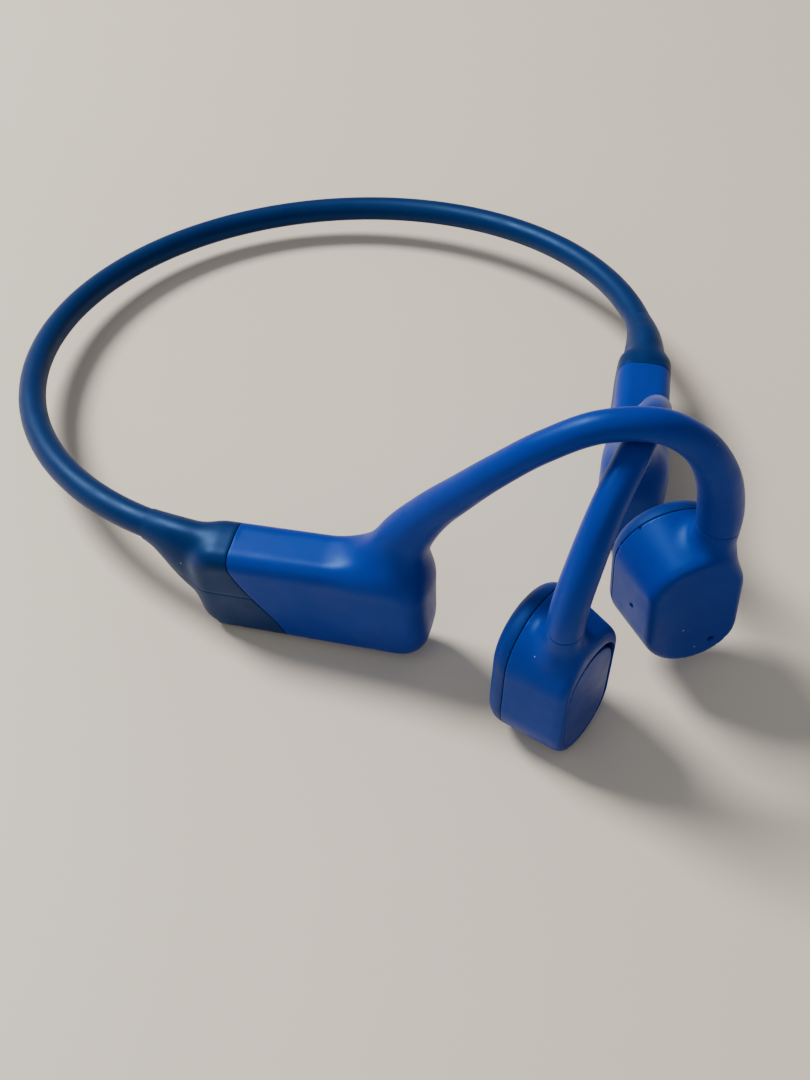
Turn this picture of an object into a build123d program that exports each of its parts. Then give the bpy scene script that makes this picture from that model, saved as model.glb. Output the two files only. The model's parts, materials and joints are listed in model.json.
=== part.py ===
from build123d import *
import os
from math import cos, radians, sin

# Bone conduction headphones, in millimetres.
# +Z is up, -Y is the way the wearer faces and +X is the wearer's left. The set stands on Z = 0.
# Each arm has its own directions: u forward along the housing, v outward from the head and w up,
# measured from the rear lower corner of that arm's housing.

LEFT = 1
RIGHT = -1
SIDES = {"left": LEFT, "right": RIGHT}

# Neckband: one round loop, lying a little lower at the nape than at the ears
RING_RADIUS = 51.5
RING_Y = 14.4
RING_Z = 10.7
RING_TILT = 6.4
SLEEVE_RADIUS = 2.2
SLEEVE_END = -31.0
FLARE_RADIUS = 2.5
WIRE_RADIUS = 0.6
LEAD_RADIUS = 0.35
LEAD_OFFSET = 1.1
LUMEN_CLEARANCE = 0.05

# Arms: both turn in from straight ahead, and the right one is tipped so that its hook rides over the left
ARM_YAW = 42.5
NECK_U = 3.5
RIGHT_LIFT = 0.12
RIGHT_NOSE_UP = 3.9
RIGHT_LEAN = 5.7

# Housings behind the ears
WALL = 1.2
HOUSING_V = -0.6
HOUSING_HALF = 4.4
HOUSING_FILLET = 2.4
HOUSING_LENGTH = 33.0
PARTING = ((12.3, -2.0), (7.6, 8.5), (4.6, 12.8), (5.7, 18.0))

# Ear hooks: centre line (u, v, w) with half width in the hook's plane and half thickness across it
HOOK = (
    (25.9, -1.2, 7.9, 5.6, 3.9),
    (27.4, -1.7, 14.3, 5.4, 3.7),
    (29.4, -2.0, 20.8, 4.0, 3.1),
    (32.9, -1.8, 27.5, 2.9, 2.6),
    (37.5, -1.4, 33.6, 2.4, 2.3),
    (42.4, -1.2, 39.2, 2.1, 2.1),
    (48.1, -1.5, 44.3, 2.0, 2.0),
    (54.7, -2.5, 47.5, 2.0, 2.0),
    (61.3, -4.2, 46.8, 2.1, 2.1),
    (65.9, -6.2, 42.2, 2.4, 2.2),
    (68.7, -7.6, 35.8, 2.8, 2.4),
    (69.8, -8.6, 28.9, 3.0, 2.5),
    (69.9, -9.0, 20.9, 3.0, 2.6),
)

# Transducers: middle in the arm's directions, turned outward-forward by DRIVER_TURN.
# Depth runs from the skin pad at -DRIVER_HALF to the flat outer face at +DRIVER_HALF. The outer face is
# smaller than the seam at the pad, and shifted forward and down.
DRIVER_CENTRE = (65.6, -9.3, 11.5)
DRIVER_TURN = 28.0
DRIVER_WIDTH = 16.0
DRIVER_HEIGHT = 23.0
DRIVER_CORNER = 7.2
DRIVER_HALF = 6.0
FACE_WIDTH = 12.8
FACE_HEIGHT = 21.0
FACE_CORNER = 5.9
FACE_SHIFT = (0.7, -0.5)
SEAM_DEPTH = -3.0
PAD_THICKNESS = 1.5
GAP = 0.3

# Moving coil and magnet inside each transducer, as radii and depths
PLATE = (5.9, -2.9, -2.55)
COIL = (3.25, 3.9, -2.5, 0.9)
MAGNET = (3.0, -0.8, 1.9)
YOKE = (4.15, 4.9, -1.2, 2.8)
YOKE_BASE = 0.85

# Keys on the underside of the right housing, and the key in the left transducer's outer face
KEY_LENGTH = 4.6
KEY_WIDTH = 2.4
KEY_HEIGHT = 1.5
VOLUME_KEYS = {"volume_down_button": 14.9, "volume_up_button": 21.1}
FACE_KEY_INSET = 1.3
FACE_KEY_THICKNESS = 1.0
PORT_U = 4.9
PORT_CONTACTS = (-1.6, 1.6)
KEY_SINK = 0.15
LIGHT_U = 9.6

# Microphone in the right transducer: its sound hole, its can and its place across and up the outer face
MIC_HOLE_RADIUS = 0.5
MIC_RADIUS = 0.9
MIC_SPOT = (3.5, -7.1)


def ring_plane():
    """Plane of the neckband loop, with x to the wearer's left and y to the nape."""
    tilt = radians(RING_TILT)
    return Plane(origin=(0, RING_Y, RING_Z), x_dir=(1, 0, 0), z_dir=(0, sin(tilt), cos(tilt)))


def arm_plane(side):
    """Plane of an arm: x forward along the housing, y to the wearer's left, z up."""
    yaw = radians(ARM_YAW)
    up = Vector(0, 0, 1)
    ahead = Vector(-side * sin(yaw), -cos(yaw), 0)
    neck = Vector(side * RING_RADIUS * cos(yaw), RING_Y - RING_RADIUS * sin(yaw), 0)
    corner = neck - ahead * NECK_U
    if side == LEFT:
        return Plane(origin=corner, x_dir=ahead, z_dir=up)
    pitch = radians(RIGHT_NOSE_UP)
    lean = radians(RIGHT_LEAN)
    nose = ahead * cos(pitch) + up * sin(pitch)
    top = up * cos(pitch) - ahead * sin(pitch)
    outward = ahead.cross(up)
    return Plane(origin=corner + up * RIGHT_LIFT, x_dir=nose, z_dir=top * cos(lean) + outward * sin(lean))


def at(side, u, v, w):
    """A point of an arm."""
    return arm_plane(side).from_local_coords(Vector(u, side * v, w))


def heading(side, u, v, w):
    """A direction of an arm."""
    return at(side, u, v, w) - at(side, 0, 0, 0)


def side_plane(side, v=HOUSING_V):
    """Upright plane along an arm: sketch x is u and sketch y is w."""
    return Plane(origin=at(side, 0, v, 0), x_dir=heading(side, 1, 0, 0), z_dir=heading(side, 0, -side, 0))


def floor_plane(side, u, w):
    """Level plane of an arm at a point of its mid line: sketch x is u."""
    return Plane(origin=at(side, u, HOUSING_V, w), x_dir=heading(side, 1, 0, 0), z_dir=heading(side, 0, 0, 1))


def driver_plane(side, depth=0.0):
    """Face plane of a transducer: sketch x is forward, sketch y is up; depth is measured towards the outer face."""
    turn = radians(DRIVER_TURN)
    forward = heading(side, cos(turn), -sin(turn), 0)
    outward = driver_axis(side)
    return Plane(origin=at(side, *DRIVER_CENTRE) + outward * depth, x_dir=forward, z_dir=outward * -side)


def ring_point(side, angle):
    """A point on the loop; the angle is 90 at the nape and grows smaller towards each ear."""
    turned = radians(angle)
    spot = Vector(side * RING_RADIUS * cos(turned), RING_RADIUS * sin(turned), 0)
    return ring_plane().from_local_coords(spot)


def ring_tube(radius, first, last, height=0.0):
    """A round rod round the loop, raised by height in the loop's plane."""
    with BuildLine(ring_plane().offset(height)) as arc:
        CenterArc((0, 0), RING_RADIUS, first, last - first)
    with BuildPart() as rod:
        with BuildSketch(Plane(origin=arc.wire() @ 0, z_dir=arc.wire() % 0)):
            Circle(radius)
        sweep(path=arc.wire())
    return rod.part


def hook_path(side, first=0, last=None, shift=0.0):
    """Centre line of an ear hook between two stations, shifted outward."""
    with BuildLine() as path:
        Spline(*[at(side, u, v + shift, w) for u, v, w, _, _ in HOOK[first:last]])
    return path.wire()


def hook_rod(side, radius, first=0, last=None, shift=0.0):
    """A round rod inside an ear hook."""
    path = hook_path(side, first, last, shift)
    with BuildPart() as rod:
        with BuildSketch(Plane(origin=path @ 0, z_dir=path % 0)):
            Circle(radius)
        sweep(path=path)
    return rod.part


def hook_blank(side):
    """Solid outer shape of an ear hook: thick at its root, then round and slim over the ear."""
    path = hook_path(side)
    across = heading(side, 0, 1, 0)
    with BuildPart() as hook:
        for u, v, w, half_width, half_thickness in HOOK:
            spot = at(side, u, v, w)
            along = path % path.param_at_point(spot)
            with BuildSketch(Plane(origin=spot, x_dir=across, z_dir=along)):
                Ellipse(half_thickness, half_width)
        loft()
    return hook.part


def housing_blank(side, inset=0.0):
    """Solid outer shape of a housing, or its inner space when inset."""
    with BuildPart() as blank:
        with BuildSketch(side_plane(side)):
            with BuildLine():
                Polyline((0, 0), (25, 0), (30.2, 0.9), (HOUSING_LENGTH, 5), (HOUSING_LENGTH, 13),
                         (28, 17.6), (4.2, 17.0), (0, 12.6), close=True)
            make_face()
            fillet(vertices(), radius=1.6)
            if inset:
                offset(amount=-inset)
        extrude(amount=HOUSING_HALF - inset, both=True)
        if not inset:
            faces = blank.faces().sort_by(Axis(at(side, 0, 0, 0), heading(side, 0, 1, 0)))
            fillet(faces[0].edges() + faces[-1].edges(), radius=HOUSING_FILLET)
    return blank.part


def rear_tool(side):
    """Everything behind the slanted line where the dark boot meets the bright housing."""
    with BuildPart() as tool:
        with BuildSketch(side_plane(side)):
            with BuildLine():
                Polyline((-16, -4), (13, -4), *PARTING, (7, 22), (-16, 22), close=True)
            make_face()
        extrude(amount=HOUSING_HALF + 8, both=True)
    return tool.part


def flare_blank(side):
    """Flare from the round sleeve to the back of a housing."""
    across = heading(side, 0, 1, 0)
    with BuildPart() as flare:
        for angle, radius in ((SLEEVE_END, SLEEVE_RADIUS), (SLEEVE_END - 5.0, FLARE_RADIUS)):
            along = ring_point(side, angle - 1) - ring_point(side, angle + 1)
            with BuildSketch(Plane(origin=ring_point(side, angle), x_dir=across, z_dir=along)):
                Circle(radius)
        for u, low, high, half in ((-1.5, 8.4, 17.0, 3.2), (3.5, 1.6, 17.0, 4.0)):
            middle = at(side, u, -0.3, (low + high) / 2)
            with BuildSketch(Plane(origin=middle, x_dir=across, z_dir=heading(side, 1, 0, 0))):
                RectangleRounded(half * 2, high - low, 2.2)
        loft()
    return flare.part


def driver_axis(side):
    """Direction from a transducer's middle to its outer face."""
    turn = radians(DRIVER_TURN)
    return heading(side, sin(turn), cos(turn), 0)


def seam_outline(side, inset):
    """Outline of a transducer at the seam of its pad."""
    with BuildSketch(driver_plane(side, SEAM_DEPTH)) as outline:
        RectangleRounded(DRIVER_WIDTH - 2 * inset, DRIVER_HEIGHT - 2 * inset, DRIVER_CORNER - inset)
    return outline.sketch


def face_outline(side, depth, inset):
    """Outline of a transducer's outer face, drawn at a depth."""
    with BuildSketch(driver_plane(side, depth)) as outline:
        with Locations(FACE_SHIFT):
            RectangleRounded(FACE_WIDTH - 2 * inset, FACE_HEIGHT - 2 * inset, FACE_CORNER - inset)
    return outline.sketch


def driver_blank(side, inset=0.0, skin=0.0):
    """Solid outer shape of a transducer, or its inner space when inset."""
    outward = driver_axis(side)
    with BuildPart() as blank:
        add(seam_outline(side, inset))
        add(face_outline(side, DRIVER_HALF - inset, inset))
        loft()
        add(seam_outline(side, inset))
        extrude(amount=DRIVER_HALF + SEAM_DEPTH - skin, dir=-outward)
        if not inset:
            faces = blank.faces().sort_by(Axis(at(side, *DRIVER_CENTRE), outward))
            fillet(faces[0].edges(), radius=1.9)
            faces = blank.faces().sort_by(Axis(at(side, *DRIVER_CENTRE), outward))
            fillet(faces[-1].edges(), radius=0.6)
    return blank.part


def driver_disc(side, radius, low, high, hole=0.0):
    """A round plate, or a ring, on a transducer's axis between two depths."""
    outward = driver_axis(side)
    with BuildPart() as disc:
        with BuildSketch(driver_plane(side, low)):
            Circle(radius)
            if hole:
                Circle(hole, mode=Mode.SUBTRACT)
        extrude(amount=high - low, dir=outward)
    return disc.part


def key_blank(side, u, length, width, low, high):
    """An upright bar with round ends that stands between two heights above the housing's underside."""
    with BuildPart() as bar:
        with BuildSketch(floor_plane(side, u, low)):
            SlotOverall(length, width)
        extrude(amount=high - low)
    return bar.part


def bar_blank(side, spot, size):
    """A plain block of an arm: its middle and its size, as (u, v, w)."""
    with BuildPart() as block:
        with BuildSketch(floor_plane(side, spot[0], spot[2])):
            with Locations((0, side * (spot[1] - HOUSING_V))):
                Rectangle(size[0], size[1])
        extrude(amount=size[2] / 2, both=True)
    return block.part


def face_key(grow, low, high):
    """The left transducer's key between two depths, or the pocket round it when grown."""
    outward = driver_axis(LEFT)
    with BuildPart() as key:
        add(face_outline(LEFT, low, FACE_KEY_INSET - grow))
        extrude(amount=high - low, dir=outward)
    return key.part


def mic_rod(radius, low, high):
    """A round rod on the microphone's axis between two depths."""
    with BuildPart() as rod:
        with BuildSketch(driver_plane(RIGHT, low)):
            with Locations(MIC_SPOT):
                Circle(radius)
        extrude(amount=high - low, dir=driver_axis(RIGHT))
    return rod.part


def save(piece, name):
    """Label a finished piece and write it."""
    piece.label = name
    export_step(piece, f"parts/{name}.step")


os.makedirs("parts", exist_ok=True)

# Neckband: soft sleeve over a springy wire, with a pair of leads beside it
band_lumens = (
    (WIRE_RADIUS, 0.0),
    (LEAD_RADIUS, LEAD_OFFSET),
    (LEAD_RADIUS, -LEAD_OFFSET),
)
sleeve_span = (SLEEVE_END, 180 - SLEEVE_END)
wire_span = (SLEEVE_END - 10, 190 - SLEEVE_END)

with BuildPart() as sleeve:
    add(ring_tube(SLEEVE_RADIUS, *sleeve_span))
    for radius, height in band_lumens:
        add(ring_tube(radius + LUMEN_CLEARANCE, *sleeve_span, height), mode=Mode.SUBTRACT)
save(sleeve.part, "neckband_sleeve")

with BuildPart() as band_wire:
    add(ring_tube(WIRE_RADIUS, *wire_span))
save(band_wire.part, "neckband_wire")

with BuildPart() as band_leads:
    add(ring_tube(LEAD_RADIUS, *wire_span, LEAD_OFFSET))
    add(ring_tube(LEAD_RADIUS, *wire_span, -LEAD_OFFSET))
save(band_leads.part, "neckband_leads")

for name, side in SIDES.items():
    housing_solid = housing_blank(side)
    housing_room = housing_blank(side, WALL)
    hook_solid = hook_blank(side)
    driver_solid = driver_blank(side)
    driver_room = driver_blank(side, WALL, PAD_THICKNESS)
    behind = rear_tool(side)
    band_lumen_tools = [ring_tube(radius + LUMEN_CLEARANCE, *wire_span, height) for radius, height in band_lumens]
    hook_lumen_tools = [
        hook_rod(side, WIRE_RADIUS + LUMEN_CLEARANCE),
        hook_rod(side, LEAD_RADIUS + LUMEN_CLEARANCE, shift=LEAD_OFFSET),
    ]

    # Dark boot: the flare from the sleeve and the back of the housing
    with BuildPart() as boot:
        add(housing_solid)
        add(flare_blank(side))
        add(behind, mode=Mode.INTERSECT)
        add(housing_room, mode=Mode.SUBTRACT)
        for tool in band_lumen_tools:
            add(tool, mode=Mode.SUBTRACT)
        if side == RIGHT:
            add(key_blank(side, PORT_U, 6.8, 3.4, -1, WALL + 1), mode=Mode.SUBTRACT)
            add(key_blank(side, LIGHT_U, 1.21, 1.2, -1, WALL + 1), mode=Mode.SUBTRACT)
    save(boot.part, f"{name}_boot")

    # Bright housing: the front shell, open towards the boot
    with BuildPart() as housing:
        add(housing_solid)
        add(behind, mode=Mode.SUBTRACT)
        add(housing_room, mode=Mode.SUBTRACT)
        for tool in hook_lumen_tools:
            add(tool, mode=Mode.SUBTRACT)
        if side == RIGHT:
            for u in VOLUME_KEYS.values():
                wide = KEY_WIDTH + 2 * GAP
                add(key_blank(side, u, KEY_LENGTH + 2 * GAP, wide, -1, WALL + 1), mode=Mode.SUBTRACT)
    save(housing.part, f"{name}_housing")

    # Ear hook: soft cover, springy wire and driver lead
    with BuildPart() as hook_cover:
        add(hook_solid)
        add(housing_solid, mode=Mode.SUBTRACT)
        add(driver_solid, mode=Mode.SUBTRACT)
        for tool in hook_lumen_tools:
            add(tool, mode=Mode.SUBTRACT)
    save(hook_cover.part, f"{name}_hook_cover")

    with BuildPart() as hook_wire:
        add(hook_rod(side, WIRE_RADIUS, 0, 12))
    save(hook_wire.part, f"{name}_hook_wire")

    with BuildPart() as hook_lead:
        add(hook_rod(side, LEAD_RADIUS, shift=LEAD_OFFSET))
    save(hook_lead.part, f"{name}_hook_lead")

    # Transducer: tapered shell with a flat outer face, and a soft pad that rests on the cheekbone
    with BuildPart() as shell:
        add(driver_solid)
        split(bisect_by=driver_plane(side, SEAM_DEPTH), keep=Keep.TOP if side == RIGHT else Keep.BOTTOM)
        add(driver_room, mode=Mode.SUBTRACT)
        for tool in hook_lumen_tools:
            add(tool, mode=Mode.SUBTRACT)
        if side == LEFT:
            add(face_key(GAP, DRIVER_HALF - WALL - 1, DRIVER_HALF + 1), mode=Mode.SUBTRACT)
        else:
            add(mic_rod(MIC_HOLE_RADIUS, DRIVER_HALF - WALL - 1, DRIVER_HALF + 1), mode=Mode.SUBTRACT)
    save(shell.part, f"{name}_driver_shell")

    with BuildPart() as pad:
        add(driver_solid)
        split(bisect_by=driver_plane(side, SEAM_DEPTH), keep=Keep.BOTTOM if side == RIGHT else Keep.TOP)
        add(driver_room, mode=Mode.SUBTRACT)
    save(pad.part, f"{name}_skin_pad")

    with BuildPart() as plate:
        add(driver_disc(side, *PLATE))
        with Locations(driver_plane(side, PLATE[1])):
            with PolarLocations(4.6, 3):
                Box(1.6, 4.4, 2, mode=Mode.SUBTRACT)
    save(plate.part, f"{name}_spring_plate")

    with BuildPart() as coil:
        add(driver_disc(side, COIL[1], COIL[2], COIL[3], COIL[0]))
    save(coil.part, f"{name}_voice_coil")

    with BuildPart() as magnet:
        add(driver_disc(side, *MAGNET))
    save(magnet.part, f"{name}_magnet")

    with BuildPart() as yoke:
        add(driver_disc(side, YOKE[1], YOKE[2], YOKE[3], YOKE[0]))
        add(driver_disc(side, YOKE[1], YOKE[3] - YOKE_BASE, YOKE[3]))
    save(yoke.part, f"{name}_yoke")

# Left transducer's multifunction key and its switch
with BuildPart() as face_button:
    add(face_key(0, DRIVER_HALF - FACE_KEY_THICKNESS, DRIVER_HALF))
    fillet(face_button.faces().sort_by(Axis(at(LEFT, *DRIVER_CENTRE), driver_axis(LEFT)))[-1].edges(), radius=0.3)
save(face_button.part, "multifunction_button")

with BuildPart() as face_switch:
    add(driver_disc(LEFT, 1.6, YOKE[3] + 0.2, YOKE[3] + 0.9))
    add(driver_disc(LEFT, 0.8, YOKE[3] + 0.9, DRIVER_HALF - FACE_KEY_THICKNESS - 0.5))
save(face_switch.part, "multifunction_switch")

# Right transducer's microphone, behind its sound hole
with BuildPart() as microphone:
    add(mic_rod(MIC_RADIUS, DRIVER_HALF - WALL - 1.2, DRIVER_HALF - WALL))
save(microphone.part, "right_microphone")

# Left housing: battery cell with its protection board above it
with BuildPart() as battery:
    add(bar_blank(LEFT, (14.5, HOUSING_V, 7.6), (18.0, 5.0, 11.0)))
    fillet(battery.edges().filter_by(Axis.Z), radius=1.6)
save(battery.part, "battery")

with BuildPart() as battery_board:
    add(bar_blank(LEFT, (13.0, HOUSING_V, 14.2), (13.0, 3.6, 0.6)))
save(battery_board.part, "battery_board")

# Right housing: main board with its radio chip, and the keys, switches, light and charging port below it
with BuildPart() as board:
    add(bar_blank(RIGHT, (17.0, HOUSING_V + 1.6, 9.6), (22.0, 0.8, 8.0)))
save(board.part, "main_board")

with BuildPart() as chip:
    add(bar_blank(RIGHT, (19.0, HOUSING_V + 0.5, 10.2), (5.0, 1.2, 5.0)))
save(chip.part, "radio_chip")

with BuildPart() as switches:
    for u in VOLUME_KEYS.values():
        add(bar_blank(RIGHT, (u, HOUSING_V, 3.3), (3.0, 2.2, 1.0)))
        add(key_blank(RIGHT, u, 1.4, 1.2, 2.6, 2.8))
save(switches.part, "volume_switches")

for name, u in VOLUME_KEYS.items():
    with BuildPart() as key:
        add(key_blank(RIGHT, u, KEY_LENGTH, KEY_WIDTH, KEY_SINK, KEY_HEIGHT))
        fillet(key.faces().sort_by(Axis(at(RIGHT, 0, 0, 0), heading(RIGHT, 0, 0, 1)))[0].edges(), radius=0.3)
        add(key_blank(RIGHT, u, KEY_LENGTH + 1.4, KEY_WIDTH + 1.4, KEY_HEIGHT, KEY_HEIGHT + 0.4))
    save(key.part, name)

with BuildPart() as port:
    add(key_blank(RIGHT, PORT_U, 6.6, 3.2, 0.5, 2.6))
    for shift in PORT_CONTACTS:
        add(key_blank(RIGHT, PORT_U + shift, 1.41, 1.4, 0.4, 2.7), mode=Mode.SUBTRACT)
save(port.part, "charging_port")

with BuildPart() as contacts:
    for shift in PORT_CONTACTS:
        add(key_blank(RIGHT, PORT_U + shift, 1.31, 1.3, 0.4, 3.0))
save(contacts.part, "charging_contacts")

with BuildPart() as light:
    add(key_blank(RIGHT, LIGHT_U, 1.11, 1.1, 0.1, 2.0))
save(light.part, "status_light")
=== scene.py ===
import json
from math import cos, pi, radians, sin

import bmesh
import bpy
import numpy as np
import openvdb
from mathutils import Matrix, Vector


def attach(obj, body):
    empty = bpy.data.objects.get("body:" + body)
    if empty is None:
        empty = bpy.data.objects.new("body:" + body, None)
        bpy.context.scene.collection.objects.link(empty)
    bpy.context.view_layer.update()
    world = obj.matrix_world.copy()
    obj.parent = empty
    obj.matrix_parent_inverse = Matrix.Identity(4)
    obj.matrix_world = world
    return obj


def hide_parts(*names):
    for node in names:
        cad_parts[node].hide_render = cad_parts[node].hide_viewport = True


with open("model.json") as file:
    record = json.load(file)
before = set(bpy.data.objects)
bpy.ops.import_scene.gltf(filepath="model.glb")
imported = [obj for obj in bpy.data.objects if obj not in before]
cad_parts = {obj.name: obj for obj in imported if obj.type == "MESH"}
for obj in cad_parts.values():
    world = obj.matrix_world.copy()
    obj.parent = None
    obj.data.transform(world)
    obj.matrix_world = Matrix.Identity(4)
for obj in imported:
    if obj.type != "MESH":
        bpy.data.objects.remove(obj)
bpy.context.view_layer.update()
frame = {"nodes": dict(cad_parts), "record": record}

# Sizes are in millimetres and are turned into metres when a mesh is made.
MM = 0.001
LEFT = 1
RIGHT = -1
SIDES = {"left": LEFT, "right": RIGHT}

# Neckband loop: a round rod along a tilted circle, open at the front
RING_RADIUS = 51.5
RING_Y = 14.4
RING_Z = 10.7
RING_TILT = radians(6.4)
SLEEVE_RADIUS = 2.2
SLEEVE_END = radians(-27.0)
SLEEVE_OVERLAP = 2.0
SLEEVE_RINGS = 361
SLEEVE_SIDES = 36

# Arms: turn inwards, place of the band's end along them, and how the right one differs from the left
ARM_YAW = radians(42.5)
NECK_U = 3.5
RIGHT_LIFT = 0.12
RIGHT_NOSE_UP = radians(3.9)
RIGHT_LEAN = radians(5.7)

# Housings: side outline (u, w), middle and half thickness, corner and edge radii
HOUSING_OUTLINE = ((0, 0), (25, 0), (30.2, 0.9), (32.6, 5), (32.4, 13), (28, 17.4), (4.2, 16.8), (0, 12.6))
HOUSING_V = -0.6
HOUSING_HALF = 4.3
HOUSING_CORNER = 1.6
HOUSING_EDGE = 2.4
REAR_END = 16.0
NOSE_CORNER = 4.4
NOSE_CORE = ((3.0, NOSE_CORNER), (28.2, NOSE_CORNER), (28.0, 13.0), (3.0, 12.4))

# Line between the dark boot and the bright housing, as (w, u), and the height of the boot's mould line
PARTING = ((-2.0, 12.4), (3.0, 11.0), (8.5, 8.8), (12.8, 5.8), (15.5, 4.6), (18.0, 5.2))
MOULD_LINE = 9.2

# Ear hooks: centre line (u, v, w), half width in the hook's plane and half thickness across it
HOOK = (
    (26.2, -1.0, 7.9, 4.6, 3.0),
    (27.4, -1.4, 14.3, 4.6, 3.1),
    (29.4, -1.8, 20.8, 3.8, 3.0),
    (33.2, -1.7, 27.1, 2.9, 2.6),
    (38.0, -1.3, 33.0, 2.4, 2.3),
    (43.0, -1.1, 38.5, 2.1, 2.1),
    (48.6, -1.4, 43.5, 2.0, 2.0),
    (54.9, -2.4, 46.9, 2.0, 2.0),
    (61.4, -4.2, 46.5, 2.1, 2.1),
    (66.0, -6.2, 42.2, 2.4, 2.15),
    (68.8, -7.7, 35.8, 2.8, 2.3),
    (69.8, -8.7, 28.9, 3.0, 2.4),
    (69.7, -9.0, 20.9, 2.8, 2.6),
)

# Flare from the band to the housing: u, depth below the band's middle, height above it, half thickness
FLARE = (
    (-11.5, 1.4, 1.4, 1.4),
    (-9.0, 2.7, 2.2, 2.1),
    (-7.0, 4.7, 2.55, 2.7),
    (-5.0, 7.6, 2.8, 3.2),
    (-3.0, 10.1, 2.8, 3.55),
    (0.0, 11.8, 2.5, 3.8),
    (4.0, 12.2, 1.7, 3.6),
    (11.0, 12.2, 0.8, 3.4),
)
FLARE_ARC = (radians(-10), radians(-60))
FLARE_SAMPLES = 400
ARC_SAMPLES = 200

# Transducers: middle, turn about the upright, outline at the skin pad and at the outer face
DRIVER_CENTRE = (65.6, -9.3, 11.5)
DRIVER_TURN = radians(28.0)
DRIVER_WIDTH = 16.0
DRIVER_HEIGHT = 23.0
DRIVER_CORNER = 7.8
DRIVER_HALF = 6.0
FACE_WIDTH = 12.8
FACE_HEIGHT = 21.0
FACE_CORNER = 6.35
FACE_SHIFT = (0.7, -0.5)

# Their thickness: the rounded body is cut off flat at the outer face, with a crease around it
DRIVER_DOME = 6.6
DRIVER_FACE_EDGE = 2.0
DRIVER_PAD_EDGE = 2.6
FACE_DEPTH = 5.8
FACE_CREASE = 0.35

# Their part lines: the skin pad's seam, and the end of the hook's cover
SEAM_DEPTH = -3.0
COLLAR_HEIGHT = 14.0
COLLAR_SLANT = 0.12
COLLAR_GAP = 0.02

# Fillets where the parts of an arm flow into each other
FLARE_FILLET = 1.6
BAND_FILLET = 1.2
HOOK_FILLET = 5.5
DRIVER_FILLET = 2.6

# Keys, port and light under the right housing: slot length and width, and place along the arm
KEY_SLOT = (5.2, 3.0)
VOLUME_KEYS = (14.9, 21.1)
PORT_SLOT = (6.8, 3.4)
PORT_U = 4.9
LIGHT_SLOT = (1.21, 1.2)
LIGHT_U = 9.6
SLOT_TOP = 3.0
SLOT_DEPTH = 1.3
LIGHT_DEPTH = 0.8

# Key in the left transducer's outer face: inset from the face's outline, and the groove around it
FACE_KEY_INSET = 1.3
FACE_KEY_DROP = 1.6
FACE_KEY_REACH = 2.0
FACE_KEY_DEPTH = 0.9
GROOVE_GROW = 0.42
GROOVE_SHIFT = (-0.33, 0.26)
GROOVE_DEPTH = 1.1

# Microphone hole in the right transducer's outer face (forward, up) and hole in its rear wall (up, outward)
MIC_SPOT = (3.5, -7.1)
MIC_HOLE = 0.5
MIC_REACH = 3.0
MIC_DEPTH = 1.2
SIDE_SPOT = (-1.0, 1.5)
SIDE_HOLE = 0.4
SIDE_DEPTH = 1.0

# Meshing: the box around an arm, in arm coordinates, and its grid
ARM_LOW = (-16, -19, -1.5)
ARM_HIGH = (78, 6.5, 52)
VOXEL = 0.5
GRID_BAND = 3 * VOXEL
RELAX_TIMES = 4
SNAP = 0.42 * VOXEL
MAX_MOVE = 0.6
MIN_STEEPNESS = 0.05
MIN_CUT_STEEPNESS = 0.04
HOLE_MARGIN = 1.2

# Moulded edges: a narrow gap, a small round and a wall turned inwards
SEAM_GAP = 0.05
LIP_DEPTH = 0.7
LIP_ROUND = 0.08
LIP_BEVEL = LIP_ROUND * 0.3
LIP_REACH = 0.15


# ---------------------------------------------------------------- arms

class Arm:
    """An arm's directions: u forward, v outward from the head, w up."""

    def __init__(self, side):
        self.side = side
        up = np.array((0.0, 0.0, 1.0))
        ahead = np.array((-side * sin(ARM_YAW), -cos(ARM_YAW), 0.0))
        outward = np.array((side * cos(ARM_YAW), -sin(ARM_YAW), 0.0))
        neck = np.array((side * RING_RADIUS * cos(ARM_YAW), RING_Y - RING_RADIUS * sin(ARM_YAW), 0.0))
        pitch, lean, lift = (0.0, 0.0, 0.0) if side == LEFT else (RIGHT_NOSE_UP, RIGHT_LEAN, RIGHT_LIFT)
        nose = ahead * cos(pitch) + up * sin(pitch)
        top = up * cos(pitch) - ahead * sin(pitch)
        self.origin = neck - ahead * NECK_U + up * lift
        out = outward * cos(lean) - top * sin(lean)
        self.axes = np.array((nose, out, top * cos(lean) + outward * sin(lean)))

    def world(self, points):
        """Arm coordinates to the shared frame, both in millimetres."""
        return self.origin + np.asarray(points) @ self.axes

    def local(self, points):
        """The shared frame to arm coordinates."""
        return (np.asarray(points) - self.origin) @ self.axes.T


def ring_points(angles):
    """Points of the neckband loop; the angle is 90 degrees at the nape, for the wearer's left side."""
    across = RING_RADIUS * np.cos(angles)
    back = RING_RADIUS * np.sin(angles)
    return np.stack((across, RING_Y + back * cos(RING_TILT), RING_Z - back * sin(RING_TILT)), axis=-1)


# ---------------------------------------------------------------- distance fields

def smooth_union(a, b, radius):
    """Two fields joined with a soft fillet."""
    near = np.maximum(radius - np.abs(a - b), 0.0) / radius
    return np.minimum(a, b) - near * near * radius / 4


def quarter_field(x, y):
    """Signed distance to the quarter of a plane where both numbers are negative."""
    return np.minimum(np.maximum(x, y), 0.0) + np.hypot(np.maximum(x, 0.0), np.maximum(y, 0.0))


def round_extrude(flat, across, half, edge):
    """A flat field given a thickness, with its edges rounded."""
    return quarter_field(flat + edge, np.abs(across) - half + edge) - edge


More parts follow.
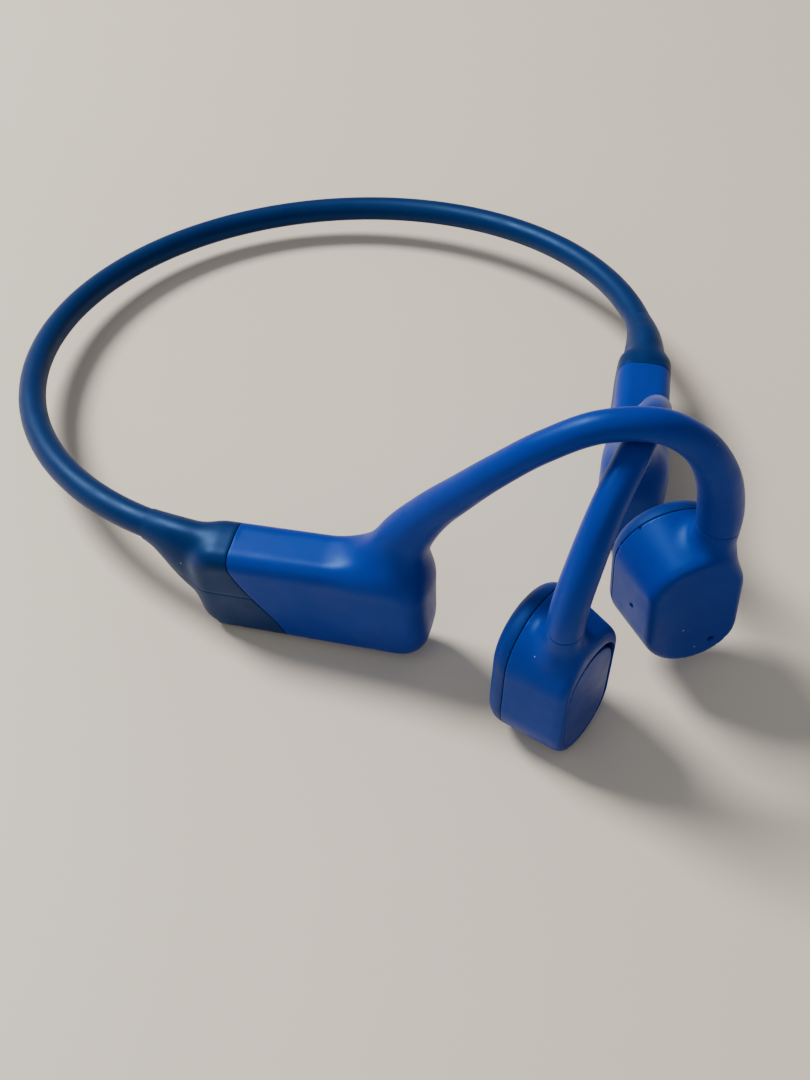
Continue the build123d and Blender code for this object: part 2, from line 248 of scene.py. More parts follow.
def inset_outline(points, amount):
    """A convex outline, given anticlockwise, moved inwards."""
    points = np.asarray(points, dtype=float)
    edges = np.roll(points, -1, axis=0) - points
    edges /= np.linalg.norm(edges, axis=1)[:, None]
    inward = np.stack((-edges[:, 1], edges[:, 0]), axis=1)
    offsets = np.sum(points * inward, axis=1) + amount
    corners = []
    for k in range(len(points)):
        pair = np.array((inward[k - 1], inward[k]))
        corners.append(np.linalg.solve(pair, np.array((offsets[k - 1], offsets[k]))))
    return np.array(corners)


def outline_field(x, y, points):
    """Signed distance to a closed outline."""
    best = np.full(x.shape, 1e9)
    inside = np.zeros(x.shape, dtype=bool)
    for (ax, ay), (bx, by) in zip(points, np.roll(points, -1, axis=0)):
        ex, ey = bx - ax, by - ay
        along = np.clip(((x - ax) * ex + (y - ay) * ey) / (ex * ex + ey * ey), 0.0, 1.0)
        best = np.minimum(best, np.hypot(x - ax - along * ex, y - ay - along * ey))
        if ay != by:
            crosses = ((ay > y) != (by > y)) & (x < (bx - ax) * (y - ay) / (by - ay) + ax)
            inside ^= crosses
    return np.where(inside, -best, best)


def rounded_box_field(x, y, half_x, half_y, corner):
    """Signed distance to a rounded rectangle, whose halves may vary from point to point."""
    return quarter_field(np.abs(x) - half_x + corner, np.abs(y) - half_y + corner) - corner


def spline(stations, count):
    """Points of a smooth cubic curve through rows of numbers, evenly spaced along its chords."""
    rows = np.asarray(stations, dtype=float)
    gaps = np.linalg.norm(np.diff(rows[:, :3], axis=0), axis=1)
    knots = np.concatenate(((0.0,), np.cumsum(gaps)))
    slopes = np.gradient(rows, knots, axis=0, edge_order=1)
    at = np.linspace(0.0, knots[-1], count)
    span = np.clip(np.searchsorted(knots, at, side="right") - 1, 0, len(gaps) - 1)
    width = gaps[span][:, None]
    t = ((at - knots[span]) / gaps[span])[:, None]
    start, end = rows[span], rows[span + 1]
    return ((2 * t**3 - 3 * t**2 + 1) * start + (t**3 - 2 * t**2 + t) * width * slopes[span]
            + (3 * t**2 - 2 * t**3) * end + (t**3 - t**2) * width * slopes[span + 1])


class Tube:
    """A tube of elliptical section along a curve, with stations (u, v, w, half width, half thickness)."""

    STEP = 12

    def __init__(self, stations, count=480):
        rows = spline(stations, count)
        self.centre = rows[:, :3]
        self.half = rows[:, 3:5]
        tangent = np.gradient(self.centre, axis=0)
        self.pace = np.linalg.norm(tangent, axis=1)
        self.tangent = tangent / self.pace[:, None]
        across = np.array((0.0, 1.0, 0.0)) - self.tangent * self.tangent[:, 1:2]
        self.across = across / np.linalg.norm(across, axis=1)[:, None]
        self.upward = np.cross(self.tangent, self.across)

    def nearest(self, points):
        """Place along the curve of the nearest point, as a real index."""
        rough = self.centre[::self.STEP]
        gap = np.stack([np.sum((points - c) ** 2, axis=1) for c in rough], axis=1)
        index = np.argmin(gap, axis=1) * self.STEP
        best = np.full(len(points), 1e9)
        found = index.copy()
        for shift in range(-self.STEP, self.STEP + 1):
            trial = np.clip(index + shift, 0, len(self.centre) - 1)
            distance = np.sum((points - self.centre[trial]) ** 2, axis=1)
            closer = distance < best
            best = np.where(closer, distance, best)
            found = np.where(closer, trial, found)
        beyond = np.sum((points - self.centre[found]) * self.tangent[found], axis=1) / self.pace[found]
        return np.clip(found + np.clip(beyond, -1.0, 1.0), 0, len(self.centre) - 1.001)

    def blend(self, rows, place):
        """Rows of a table read at real indices."""
        low = place.astype(int)
        part = (place - low)[:, None]
        return rows[low] * (1 - part) + rows[low + 1] * part

    def field(self, points):
        """Approximate signed distance to the tube's surface."""
        place = self.nearest(points)
        gap = points - self.blend(self.centre, place)
        half = self.blend(self.half, place)
        parts = np.stack((
            np.sum(gap * self.blend(self.upward, place), axis=1),
            np.sum(gap * self.blend(self.across, place), axis=1),
            np.sum(gap * self.blend(self.tangent, place), axis=1),
        ), axis=1)
        sizes = np.stack((half[:, 0], half[:, 1], np.min(half, axis=1)), axis=1)
        inner = np.linalg.norm(parts / sizes, axis=1)
        slope = np.linalg.norm(parts / sizes**2, axis=1)
        return inner * (inner - 1) / np.maximum(slope, 1e-6)


def driver_coordinates(points):
    """Arm points seen from a transducer: forward, up and outward from its middle."""
    gap = points - np.array(DRIVER_CENTRE)
    forward = gap[:, 0] * cos(DRIVER_TURN) - gap[:, 1] * sin(DRIVER_TURN)
    outward = gap[:, 0] * sin(DRIVER_TURN) + gap[:, 1] * cos(DRIVER_TURN)
    return forward, gap[:, 2], outward


def driver_field(points):
    """A transducer: upright walls at the skin pad, then tapering to a flat outer face."""
    x, y, depth = driver_coordinates(points)
    share = np.clip((depth - SEAM_DEPTH) / (DRIVER_HALF - SEAM_DEPTH), 0.0, 1.0)
    half_x = (DRIVER_WIDTH + (FACE_WIDTH - DRIVER_WIDTH) * share) / 2
    half_y = (DRIVER_HEIGHT + (FACE_HEIGHT - DRIVER_HEIGHT) * share) / 2
    corner = DRIVER_CORNER + (FACE_CORNER - DRIVER_CORNER) * share
    x = x - FACE_SHIFT[0] * share
    y = y - FACE_SHIFT[1] * share
    flat = rounded_box_field(x, y, half_x, half_y, corner)
    face = round_extrude(flat, depth, DRIVER_DOME, DRIVER_FACE_EDGE)
    back = round_extrude(flat, depth, DRIVER_HALF, DRIVER_PAD_EDGE)
    return np.where(depth > 0, face, back)


HOUSING_CORE = inset_outline(HOUSING_OUTLINE, HOUSING_CORNER)


def housing_field(points):
    """A housing: its side outline, with a round nose and small corners behind, given its thickness."""
    u, v, w = points.T
    rear = np.maximum(outline_field(u, w, HOUSING_CORE) - HOUSING_CORNER, u - REAR_END)
    nose = outline_field(u, w, NOSE_CORE) - NOSE_CORNER
    return round_extrude(np.minimum(rear, nose), v - HOUSING_V, HOUSING_HALF, HOUSING_EDGE)


def flare_field(arm):
    """The flare: upright ovals on the band's own line, deepening downwards to the housing's height."""
    band = ring_points(np.linspace(*FLARE_ARC, ARC_SAMPLES))
    band[:, 0] *= arm.side
    band = arm.local(band)
    stations = []
    for u, below, above, half in FLARE:
        share = (u - FLARE[0][0]) / (FLARE[-1][0] - FLARE[0][0])
        v = np.interp(u, band[:, 0], band[:, 1]) * (1 - share) + HOUSING_V * share
        middle = np.interp(u, band[:, 0], band[:, 2])
        stations.append((u, v, middle + (above - below) / 2, (above + below) / 2, half))
    rows = spline(stations, FLARE_SAMPLES)
    slopes = np.gradient(rows, rows[:, 0], axis=0)

    def field(points):
        u, v, w = points.T
        middle_v, middle_w, tall, thick = (np.interp(u, rows[:, 0], rows[:, k]) for k in range(1, 5))
        turn_v, turn_w, turn_tall, turn_thick = (np.interp(u, rows[:, 0], slopes[:, k]) for k in range(1, 5))
        y = (v - middle_v) / thick
        z = (w - middle_w) / tall
        inner = np.maximum(np.hypot(y, z), 1e-6)
        along = (y * (turn_v + y * turn_thick) / thick + z * (turn_w + z * turn_tall) / tall) / inner
        slope = np.sqrt((y / thick / inner) ** 2 + (z / tall / inner) ** 2 + along**2)
        ends = np.maximum(FLARE[0][0] - u, u - FLARE[-1][0])
        return np.maximum((inner - 1) / slope, ends)

    return field


def ring_coordinates(points, arm):
    """Arm points seen from the middle of the neckband loop: across, back and above its plane."""
    x, y, z = (arm.world(points) - np.array((0.0, RING_Y, RING_Z))).T
    return x, y * cos(RING_TILT) - z * sin(RING_TILT), y * sin(RING_TILT) + z * cos(RING_TILT)


def band_field(points, arm):
    """The band's round rod near an arm."""
    x, y, z = ring_coordinates(points, arm)
    rod = np.hypot(np.hypot(x, y) - RING_RADIUS, z) - SLEEVE_RADIUS
    angle = np.arctan2(y, arm.side * x)
    ahead = (-ARM_YAW - angle) * RING_RADIUS
    behind = (angle - SLEEVE_END) * RING_RADIUS - SLEEVE_OVERLAP
    return np.maximum(rod, np.maximum(ahead, behind))


def sleeve_end_field(points, arm):
    """Distance past the end of the plain sleeve, towards the nape."""
    x, y, _ = ring_coordinates(points, arm)
    return (np.arctan2(y, arm.side * x) - SLEEVE_END) * RING_RADIUS


# ---------------------------------------------------------------- meshing

def surface(field, low, high):
    """Quads on the zero of a field, relaxed along the surface."""
    low = np.asarray(low, dtype=float)
    counts = np.ceil((np.asarray(high) - low) / VOXEL).astype(int) + 1
    axes = [low[k] + VOXEL * np.arange(counts[k]) for k in range(3)]
    values = np.empty(tuple(counts), dtype=np.float32)
    for i, x in enumerate(axes[0]):
        y, z = np.meshgrid(axes[1], axes[2], indexing="ij")
        slab = np.stack((np.full(y.size, x), y.ravel(), z.ravel()), axis=1)
        values[i] = field(slab).reshape(y.shape)
    grid = openvdb.FloatGrid(GRID_BAND)
    grid.copyFromArray(np.clip(values, -GRID_BAND, GRID_BAND))
    points, quads = grid.convertToQuads(isovalue=0.0)
    points = low + np.asarray(points, dtype=float) * VOXEL
    quads = np.asarray(quads, dtype=int)
    pairs = np.concatenate((quads[:, (0, 1)], quads[:, (1, 2)], quads[:, (2, 3)], quads[:, (3, 0)]))
    ends = np.concatenate((pairs, pairs[:, ::-1]))
    degree = np.bincount(ends[:, 0], minlength=len(points))[:, None]
    points = settle(field, points, 3)
    for _ in range(RELAX_TIMES):
        sums = [np.bincount(ends[:, 0], points[ends[:, 1], k], len(points)) for k in range(3)]
        points = settle(field, points * 0.5 + np.stack(sums, axis=1) / degree * 0.5, 1)
    return settle(field, points, 2), quads


def slope_of(field, points):
    """Gradient of a field."""
    step = 0.02
    shifts = np.eye(3) * step
    return np.stack([(field(points + s) - field(points - s)) / (2 * step) for s in shifts], axis=1)


def settle(field, points, times):
    """Points moved onto the zero of a field."""
    for _ in range(times):
        slope = slope_of(field, points)
        size = np.maximum(np.sum(slope * slope, axis=1), MIN_STEEPNESS)
        move = np.clip(field(points) / size, -MAX_MOVE, MAX_MOVE)
        points = points - slope * move[:, None]
    return points


def mesh_of(points, faces):
    """A mesh of points in arm coordinates."""
    bm = bmesh.new()
    verts = [bm.verts.new(p) for p in points]
    for face in faces:
        bm.faces.new([verts[k] for k in face])
    bm.normal_update()
    return bm


def tangential(vectors, normals):
    """Vectors with their part along the normals taken out."""
    return vectors - normals * np.sum(vectors * normals, axis=1)[:, None]


def cut(bm, field):
    """Cuts a mesh along the zero of a field, and returns the field at each face's middle."""
    bm.normal_update()
    verts = list(bm.verts)
    points = np.array([v.co for v in verts])
    values = field(points)
    slope = tangential(slope_of(field, points), np.array([v.normal for v in verts]))
    steep = np.maximum(np.sum(slope * slope, axis=1), MIN_CUT_STEEPNESS)
    close = np.abs(values) < SNAP * np.sqrt(steep)
    points[close] -= (slope * (values / steep)[:, None])[close]
    values[close] = 0.0
    line = set()
    value = {}
    for k, vert in enumerate(verts):
        value[vert] = values[k]
        if close[k]:
            vert.co = points[k]
            line.add(vert)
    crossing = [e for e in bm.edges if value[e.verts[0]] * value[e.verts[1]] < 0]
    for edge in crossing:
        a, b = edge.verts
        share = value[a] / (value[a] - value[b])
        line.add(bmesh.utils.edge_split(edge, a, float(share))[1])
    for face in list(bm.faces):
        ends = [v for v in face.verts if v in line]
        if len(ends) == 2 and not bm.edges.get(ends):
            bmesh.utils.face_split(face, ends[0], ends[1])
    bm.normal_update()
    return field(np.array([f.calc_center_median() for f in bm.faces]))


def keep(bm, values, sign):
    """A copy of a mesh with only the faces on one side of a cut."""
    copy = bm.copy()
    gone = [face for face, value in zip(copy.faces, values) if value * sign < 0]
    bmesh.ops.delete(copy, geom=gone, context="FACES")
    copy.normal_update()
    return copy


def refine(bm, near, field, times=2):
    """Smaller faces where near() is negative, kept on the zero of the shape's field."""
    for _ in range(times):
        points = np.array([v.co for v in bm.verts])
        wanted = {v for v, value in zip(bm.verts, near(points)) if value < 0}
        edges = [e for e in bm.edges if e.verts[0] in wanted and e.verts[1] in wanted]
        made = bmesh.ops.subdivide_edges(bm, edges=edges, cuts=1, use_grid_fill=True)
        fresh = [g for g in made["geom_inner"] if isinstance(g, bmesh.types.BMVert)]
        for vert, place in zip(fresh, settle(field, np.array([v.co for v in fresh]), 2)):
            vert.co = place
    bm.normal_update()


def unit(vectors):
    """Vectors brought to length one."""
    return vectors / np.maximum(np.linalg.norm(vectors, axis=1), 1e-9)[:, None]


def lip(bm, shape, outline, sign, gap=SEAM_GAP, depth=LIP_DEPTH):
    """The open edge along an outline pulled back a little, rounded over and turned inwards."""
    border = [e for e in bm.edges if e.is_boundary]
    verts = list(dict.fromkeys(v for e in border for v in e.verts))
    near = np.abs(outline(np.array([v.co for v in verts]))) < LIP_REACH
    verts = [v for v, close in zip(verts, near) if close]
    chosen = set(verts)
    border = [e for e in border if e.verts[0] in chosen and e.verts[1] in chosen]
    base = np.array([v.co for v in verts])
    normal = unit(slope_of(shape, base))
    back = unit(tangential(slope_of(outline, base), normal)) * sign
    current = {v: v for v in verts}
    for vert, place in zip(verts, base + back * (gap + LIP_ROUND)):
        vert.co = place
    for inward, pulled in ((LIP_BEVEL, gap + LIP_BEVEL), (LIP_ROUND, gap), (depth, gap)):
        places = base - normal * inward + back * pulled
        fresh = {v: bm.verts.new(place) for v, place in zip(verts, places)}
        for edge in border:
            a, b = edge.verts
            bm.faces.new((current[a], current[b], fresh[b], fresh[a]))
        current = fresh
    bm.normal_update()


# ---------------------------------------------------------------- materials

# Sockets of the mix node for colours
MIX_FIRST = 6
MIX_SECOND = 7
MIX_RESULT = 2


def material(name, colour, roughness, metallic=0.0):
    """A material with its main numbers set, and its parts for more work."""
    made = bpy.data.materials.new(name)
    made.use_nodes = True
    tree = made.node_tree
    shader = tree.nodes["Principled BSDF"]
    shader.inputs["Base Color"].default_value = (*colour, 1.0)
    shader.inputs["Roughness"].default_value = roughness
    shader.inputs["Metallic"].default_value = metallic
    return made, tree, shader


def node(tree, kind, inputs=(), **settings):
    """A shader node with its inputs and settings."""
    made = tree.nodes.new(kind)
    for key, value in settings.items():
        setattr(made, key, value)
    for key, value in dict(inputs).items():
        if isinstance(value, bpy.types.NodeSocket):
            tree.links.new(value, made.inputs[key])
        else:
            made.inputs[key].default_value = value
    return made


def noise(tree, scale, detail=3.0, stretch=(1, 1, 1)):
    """Noise in the object's own space."""
    place = node(tree, "ShaderNodeTexCoord").outputs["Object"]
    scaled = node(tree, "ShaderNodeMapping", {"Vector": place, "Scale": stretch}).outputs["Vector"]
    made = node(tree, "ShaderNodeTexNoise", {"Vector": scaled, "Scale": scale, "Detail": detail})
    return made.outputs["Fac"]


def spread(tree, fac, low, high):
    """A noise turned into a range of numbers."""
    inputs = {"Value": fac, "From Min": 0.3, "From Max": 0.7, "To Min": low, "To Max": high}
    return node(tree, "ShaderNodeMapRange", inputs).outputs["Result"]


def vary(tree, shader, fac, dark, light):
    """Colour that drifts between two shades."""
    mixed = node(tree, "ShaderNodeMix", data_type="RGBA")
    tree.links.new(fac, mixed.inputs["Factor"])
    mixed.inputs[MIX_FIRST].default_value = (*dark, 1.0)
    mixed.inputs[MIX_SECOND].default_value = (*light, 1.0)
    tree.links.new(mixed.outputs[MIX_RESULT], shader.inputs["Base Color"])
    return mixed.outputs[MIX_RESULT]


def bumps(tree, shader, layers):
    """Bumps from several noises, each as (height, strength, distance)."""
    normal = None
    for height, strength, distance in layers:
        inputs = {"Height": height, "Strength": strength, "Distance": distance}
        if normal:
            inputs["Normal"] = normal
        normal = node(tree, "ShaderNodeBump", inputs).outputs["Normal"]
    tree.links.new(normal, shader.inputs["Normal"])


def soft_touch(name, colour, rough, dust=0.0):
    """Satin silicone or coated plastic: a fine moulded grain, faint rubbed patches and a little dust."""
    made, tree, shader = material(name, colour, rough)
    dark = [c * 0.86 for c in colour]
    light = [min(c * 1.12, 1.0) for c in colour]
    patches = noise(tree, PATCH_SCALE, 4)
    shade = vary(tree, shader, patches, dark, light)
    if dust:
        place = node(tree, "ShaderNodeTexCoord").outputs["Object"]
        cells = node(tree, "ShaderNodeTexVoronoi", {"Vector": place, "Scale": DUST_SCALE, "Randomness": 1.0})
        chance = node(tree, "ShaderNodeSeparateColor", {"Color": cells.outputs["Color"]}).outputs["Red"]
        rare = node(tree, "ShaderNodeMath", {0: chance, 1: 1.0 - dust}, operation="GREATER_THAN").outputs[0]
        reach = {0: cells.outputs["Distance"], 1: DUST_RADIUS}
        near = node(tree, "ShaderNodeMath", reach, operation="LESS_THAN")
        speck = node(tree, "ShaderNodeMath", {0: rare, 1: near.outputs[0]}, operation="MULTIPLY").outputs[0]
        faint = node(tree, "ShaderNodeMath", {0: speck, 1: DUST_STRENGTH}, operation="MULTIPLY").outputs[0]
        dusted = node(tree, "ShaderNodeMix", data_type="RGBA")
        tree.links.new(faint, dusted.inputs["Factor"])
        tree.links.new(shade, dusted.inputs[MIX_FIRST])
        dusted.inputs[MIX_SECOND].default_value = DUST_COLOUR
        tree.links.new(dusted.outputs[MIX_RESULT], shader.inputs["Base Color"])
    rubbed = spread(tree, noise(tree, RUBBED_SCALE, 3), rough - 0.05, rough + 0.07)
    tree.links.new(rubbed, shader.inputs["Roughness"])
    grain = noise(tree, GRAIN_SCALE, 2)
    waves = noise(tree, WAVE_SCALE, 3)
    bumps(tree, shader, ((grain, 0.16, 0.00006), (waves, 0.08, 0.0003)))
    shader.inputs["Specular IOR Level"].default_value = SOFT_GLOSS
    shader.inputs["Specular Tint"].default_value = BLUE_GLOSS
    shader.inputs["Sheen Weight"].default_value = SOFT_SHEEN
    shader.inputs["Sheen Tint"].default_value = BLUE_GLOSS
    return made


def metal(name, colour, rough, stretch=(1, 1, 1), grain=1500):
    """Metal with fine drawn or turned marks."""
    made, tree, shader = material(name, colour, rough, 1.0)
    marks = noise(tree, grain, 2, stretch)
    vary(tree, shader, marks, [c * 0.85 for c in colour], colour)
    tree.links.new(spread(tree, marks, rough - 0.08, rough + 0.1), shader.inputs["Roughness"])
    bumps(tree, shader, ((marks, 0.1, 0.00005),))
    return made


def plastic(name, colour, rough, grain=3000):
    """Moulded plastic with a fine grain."""
    made, tree, shader = material(name, colour, rough)
    vary(tree, shader, noise(tree, 300, 3), [c * 0.85 for c in colour], colour)
    tree.links.new(spread(tree, noise(tree, 500, 2), rough - 0.05, rough + 0.05), shader.inputs["Roughness"])
    bumps(tree, shader, ((noise(tree, grain, 2), 0.12, 0.00005),))
    return made


def circuit_board(name):
    """Green board with darker tracks under its solder mask."""
    made, tree, shader = material(name, (0.01, 0.12, 0.05), 0.3)
    place = node(tree, "ShaderNodeTexCoord").outputs["Object"]
    tracks = node(tree, "ShaderNodeTexBrick", {"Vector": place, "Scale": 700.0, "Mortar Size": 0.03})
    tracks.inputs["Color1"].default_value = (0.008, 0.10, 0.04, 1)
    tracks.inputs["Color2"].default_value = (0.012, 0.14, 0.06, 1)
    tracks.inputs["Mortar"].default_value = (0.03, 0.22, 0.09, 1)
    tree.links.new(tracks.outputs["Color"], shader.inputs["Base Color"])
    shader.inputs["Coat Weight"].default_value = 0.3
    bumps(tree, shader, ((tracks.outputs["Fac"], 0.15, 0.00005),))
    return made


ROYAL_BLUE = (0.0, 0.019, 0.23)
PAD_BLUE = (0.0, 0.013, 0.14)
NAVY = (0.0, 0.012, 0.072)
BLUE_GLOSS = (0.12, 0.42, 1.0, 1.0)
PATCH_SCALE = 160
RUBBED_SCALE = 240
GRAIN_SCALE = 5200
WAVE_SCALE = 420
SOFT_GLOSS = 0.36
SOFT_SHEEN = 0.03
DUST_COLOUR = (0.6, 0.62, 0.65, 1.0)
DUST_SCALE = 420.0
DUST_RADIUS = 0.055
DUST_STRENGTH = 0.45

MATERIALS = {
    "navy_silicone": soft_touch("navy_silicone", NAVY, 0.46, 0.03),
    "blue_soft_touch": soft_touch("blue_soft_touch", ROYAL_BLUE, 0.42, 0.05),
    "pad_silicone": soft_touch("pad_silicone", PAD_BLUE, 0.5, 0.04),
    "blue_key": soft_touch("blue_key", ROYAL_BLUE, 0.4),
    "spring_wire": metal("spring_wire", (0.55, 0.54, 0.52), 0.3, (1, 1, 0.1)),
    "lead_insulation": plastic("lead_insulation", (0.35, 0.02, 0.02), 0.45),
    "copper": metal("copper", (0.72, 0.32, 0.12), 0.3, (0.1, 0.1, 6)),
    "magnet_plating": metal("magnet_plating", (0.75, 0.75, 0.76), 0.15),
    "driver_steel": metal("driver_steel", (0.5, 0.5, 0.52), 0.35),
    "gold_contact": metal("gold_contact", (0.9, 0.68, 0.28), 0.22),
    "black_plastic": plastic("black_plastic", (0.012, 0.012, 0.014), 0.4),
    "circuit_board": circuit_board("circuit_board"),
    "battery_foil": metal("battery_foil", (0.7, 0.71, 0.72), 0.38, grain=400),
    "light_pipe": plastic("light_pipe", (0.8, 0.83, 0.88), 0.3),
}

for subpart in frame["record"]["subparts"]:
    cad_mesh = frame["nodes"][subpart["node"]].data
    cad_mesh.materials.clear()
    cad_mesh.materials.append(MATERIALS[subpart["material_slot"]])


# ---------------------------------------------------------------- pieces

def to_piece(bm, arm, name, slot, nodes, body="headset"):
    """Turns a mesh in arm coordinates into a piece that stands for CAD nodes."""
    points = np.array([v.co for v in bm.verts])
    for vert, place in zip(bm.verts, (arm.world(points) if arm else points) * MM):
        vert.co = place
    bmesh.ops.recalc_face_normals(bm, faces=bm.faces)
    mesh = bpy.data.meshes.new(name)
    bm.to_mesh(mesh)
    bm.free()
    mesh.polygons.foreach_set("use_smooth", [True] * len(mesh.polygons))
    mesh.materials.append(MATERIALS[slot])
    piece = bpy.data.objects.new(name, mesh)
    bpy.context.scene.collection.objects.link(piece)
    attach(piece, body)
    if nodes:
        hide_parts(*nodes)
    return piece


def parting_field(points):
    """Negative behind the slanted line between the dark boot and the bright housing."""
    heights, lengths = zip(*PARTING)
    curve = np.polynomial.Polynomial.fit(heights, lengths, 3)
    return points[:, 0] - curve(np.clip(points[:, 2], heights[0], heights[-1]))


def slot_field(points, u, size):
    """Negative inside a slot with round ends in a housing's underside."""
    reach = (size[0] - size[1]) / 2
    x = np.maximum(np.abs(points[:, 0] - u) - reach, 0.0)
    return np.maximum(np.hypot(x, points[:, 1] - HOUSING_V) - size[1] / 2, points[:, 2] - SLOT_TOP)


def seam_field(points):
    """Negative in the skin pad."""
    x, y, depth = driver_coordinates(points)
    return np.maximum(depth - SEAM_DEPTH, np.maximum(y - DRIVER_HEIGHT, -x - DRIVER_WIDTH))


def collar_field(points):
    """Negative below the end of the hook's cover, in the transducer."""
    x, y, _ = driver_coordinates(points)
    return np.maximum(y - COLLAR_HEIGHT + COLLAR_SLANT * x, -x - DRIVER_WIDTH)


def face_key_field(points, grow=0.0, shift=(0.0, 0.0)):
    """Negative inside the outline of the key in a transducer's outer face."""
    x, y, depth = driver_coordinates(points)
    inset = FACE_KEY_INSET - grow
    size = (FACE_WIDTH / 2 - inset, (FACE_HEIGHT - FACE_KEY_DROP) / 2 - inset)
    x = x - FACE_SHIFT[0] - shift[0]
    y = y - FACE_SHIFT[1] - shift[1] + FACE_KEY_DROP / 2
    key = rounded_box_field(x, y, *size, FACE_CORNER - inset)
    return np.maximum(key, DRIVER_HALF - FACE_KEY_REACH - depth)


def hole_field(points, spot, radius):
    """Negative inside a round hole in the outer face."""
    x, y, depth = driver_coordinates(points)
    return np.maximum(np.hypot(x - spot[0], y - spot[1]) - radius, DRIVER_HALF - MIC_REACH - depth)


def side_hole_field(points, spot, radius):
    """Negative inside a round hole in a transducer's rear wall."""
    x, y, depth = driver_coordinates(points)
    return np.maximum(np.hypot(y - spot[0], depth - spot[1]) - radius, x)


def pierce(bm, shape, outline, depth, fine=2):
    """A hole with an inturned edge, cut through a skin."""
    refine(bm, lambda p: outline(p) - HOLE_MARGIN, shape, fine)
    values = cut(bm, outline)
    gone = [face for face, value in zip(bm.faces, values) if value < 0]
    bmesh.ops.delete(bm, geom=gone, context="FACES")
    bm.normal_update()
    lip(bm, shape, outline, 1, 0.0, depth)


def halves(bm, shape, outline, gap=SEAM_GAP):
    """A skin cut in two along an outline, with a moulded edge on both: (behind, ahead)."""
    values = cut(bm, outline)
    behind = keep(bm, values, -1)
    ahead = keep(bm, values, 1)
    bm.free()
    lip(behind, shape, outline, -1, gap)
    lip(ahead, shape, outline, 1, gap)
    return behind, ahead


def arm_field(arm):
    """The whole outer shape of an arm, from the band's end to the transducer."""
    hook = Tube(HOOK)
    flare = flare_field(arm)

    def field(points):
        body = smooth_union(housing_field(points), flare(points), FLARE_FILLET)
        body = smooth_union(body, band_field(points, arm), BAND_FILLET)
        body = smooth_union(body, hook.field(points), HOOK_FILLET)
        body = smooth_union(body, driver_field(points), DRIVER_FILLET)
        x, _, depth = driver_coordinates(points)
        face = np.where(np.abs(x) < DRIVER_WIDTH, depth - FACE_DEPTH, -DRIVER_WIDTH)
        return -smooth_union(-body, -face, FACE_CREASE)

    return field


def make_arm(name, side):
    """The skins of one arm."""
    arm = Arm(side)
    shape = arm_field(arm)
    bm = mesh_of(*surface(shape, ARM_LOW, ARM_HIGH))
    values = cut(bm, lambda p: sleeve_end_field(p, arm))
    whole = keep(bm, values, -1)
    bm.free()
    boot, front = halves(whole, shape, parting_field)
    pad, rest = halves(front, shape, seam_field)
    driver, hook = halves(rest, shape, collar_field, COLLAR_GAP)

    if side == RIGHT:
        for u in VOLUME_KEYS:
            pierce(hook, shape, lambda p, u=u: slot_field(p, u, KEY_SLOT), SLOT_DEPTH, 1)
        pierce(boot, shape, lambda p: slot_field(p, LIGHT_U, LIGHT_SLOT), LIGHT_DEPTH)
        pierce(boot, shape, lambda p: slot_field(p, PORT_U, PORT_SLOT), SLOT_DEPTH, 1)
        pierce(driver, shape, lambda p: hole_field(p, MIC_SPOT, MIC_HOLE), MIC_DEPTH)
        pierce(driver, shape, lambda p: side_hole_field(p, SIDE_SPOT, SIDE_HOLE), SIDE_DEPTH)
    else:
        key = driver.copy()
        values = cut(key, face_key_field)
        cap = keep(key, values, -1)
        key.free()
        lip(cap, shape, face_key_field, -1, 0.0, FACE_KEY_DEPTH)
        button = "multifunction_button"
        to_piece(cap, arm, "multifunction_key_cap", "blue_key", [button], button)
        pierce(driver, shape, lambda p: face_key_field(p, GROOVE_GROW, GROOVE_SHIFT), GROOVE_DEPTH, 0)

    lower, upper = halves(boot, shape, lambda p: p[:, 2] - MOULD_LINE, 0.0)
    to_piece(lower, arm, f"{name}_boot_lower_skin", "navy_silicone", [f"{name}_boot"])
    to_piece(upper, arm, f"{name}_boot_upper_skin", "navy_silicone", [])
    to_piece(hook, arm, f"{name}_arm_skin", "blue_soft_touch", [f"{name}_housing", f"{name}_hook_cover"])
    to_piece(driver, arm, f"{name}_transducer_skin", "blue_soft_touch", [f"{name}_driver_shell"])
    to_piece(pad, arm, f"{name}_pad_skin", "pad_silicone", [f"{name}_skin_pad"])


def make_sleeve():
    """The neckband's round sleeve."""
    line = ring_points(np.linspace(SLEEVE_END, pi - SLEEVE_END, SLEEVE_RINGS))
    centre = np.array((0.0, RING_Y, RING_Z))
    lift = np.array((0.0, sin(RING_TILT), cos(RING_TILT)))
    around = np.linspace(0, 2 * pi, SLEEVE_SIDES, endpoint=False)
    bm = bmesh.new()
    rings = []
    for spot in line:
        radial = (spot - centre) / RING_RADIUS
        rings.append([bm.verts.new(spot + SLEEVE_RADIUS * (radial * cos(a) + lift * sin(a))) for a in around])
    for first, second in zip(rings, rings[1:]):
        for k in range(SLEEVE_SIDES):
            j = (k + 1) % SLEEVE_SIDES
            bm.faces.new((first[k], first[j], second[j], second[k]))
    to_piece(bm, None, "neckband_skin", "navy_silicone", ["neckband_sleeve"])


for arm_name, arm_side in SIDES.items():
    make_arm(arm_name, arm_side)
make_sleeve()


# ---------------------------------------------------------------- floor, lights and camera

FLOOR_REACH = 4.0
FLOOR_DARK = (0.62, 0.55, 0.45)
FLOOR_LIGHT = (0.66, 0.59, 0.49)
WARM_WHITE = (1.0, 0.975, 0.94)
COOL_WHITE = (0.94, 0.97, 1.0)
SKY_COLOUR = (0.9, 0.94, 1.0, 1.0)
SKY_STRENGTH = 0.30

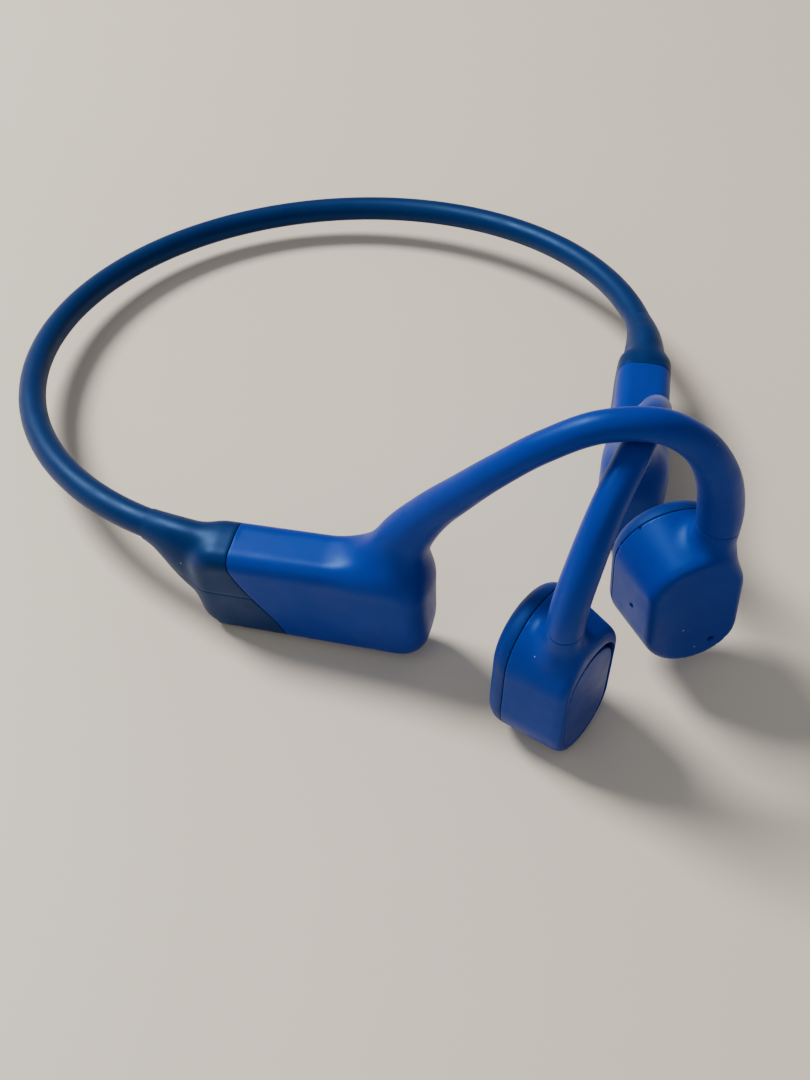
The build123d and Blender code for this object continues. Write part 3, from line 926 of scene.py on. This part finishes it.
# Camera: a lens of 44.7 mm on a 36 mm high sensor, turned to the right and looking down
CAMERA_PLACE = (-0.09106, -0.14208, 0.15284)
CAMERA_TURN = radians(-33.98)
CAMERA_DOWN = radians(46.16)
CAMERA_ROLL = radians(1.67)
CAMERA_LENS = 44.72
SENSOR_HEIGHT = 36


def make_floor():
    """A plain pale floor."""
    made, tree, shader = material("pale_floor", FLOOR_DARK, 0.55)
    vary(tree, shader, noise(tree, 6, 4), FLOOR_DARK, FLOOR_LIGHT)
    mesh = bpy.data.meshes.new("floor")
    reach = FLOOR_REACH
    corners = [(-reach, -reach, 0), (reach, -reach, 0), (reach, reach, 0), (-reach, reach, 0)]
    mesh.from_pydata(corners, [], [(0, 1, 2, 3)])
    mesh.materials.append(made)
    floor = bpy.data.objects.new("floor", mesh)
    bpy.context.scene.collection.objects.link(floor)


def area_light(name, place, target, size, power, colour):
    """A soft light, aimed at a point."""
    light = bpy.data.lights.new(name, "AREA")
    light.shape = "DISK"
    light.size = size
    light.energy = power
    light.color = colour
    lamp = bpy.data.objects.new(name, light)
    lamp.location = place
    lamp.rotation_euler = (Vector(target) - Vector(place)).to_track_quat("-Z", "Y").to_euler()
    bpy.context.scene.collection.objects.link(lamp)


def make_lights():
    """One main soft light from behind on the left, a broad fill and a pale sky."""
    area_light("main_light", (-0.30, 0.56, 0.74), (0, 0, 0), 0.34, 16, WARM_WHITE)
    area_light("fill_light", (-0.7, -0.35, 0.7), (0, 0, 0), 0.9, 2.5, COOL_WHITE)
    world = bpy.data.worlds.new("sky")
    world.use_nodes = True
    background = world.node_tree.nodes["Background"]
    background.inputs["Color"].default_value = SKY_COLOUR
    background.inputs["Strength"].default_value = SKY_STRENGTH
    bpy.context.scene.world = world


def make_camera():
    """The camera."""
    lens = bpy.data.cameras.new("camera")
    lens.sensor_fit = "VERTICAL"
    lens.sensor_height = SENSOR_HEIGHT
    lens.lens = CAMERA_LENS
    lens.clip_start = 0.01
    camera = bpy.data.objects.new("camera", lens)
    aim = Matrix.Rotation(CAMERA_TURN, 4, "Z") @ Matrix.Rotation(pi / 2 - CAMERA_DOWN, 4, "X")
    camera.matrix_world = Matrix.Translation(CAMERA_PLACE) @ aim @ Matrix.Rotation(CAMERA_ROLL, 4, "Z")
    bpy.context.scene.collection.objects.link(camera)
    bpy.context.scene.camera = camera


make_floor()
make_lights()
make_camera()
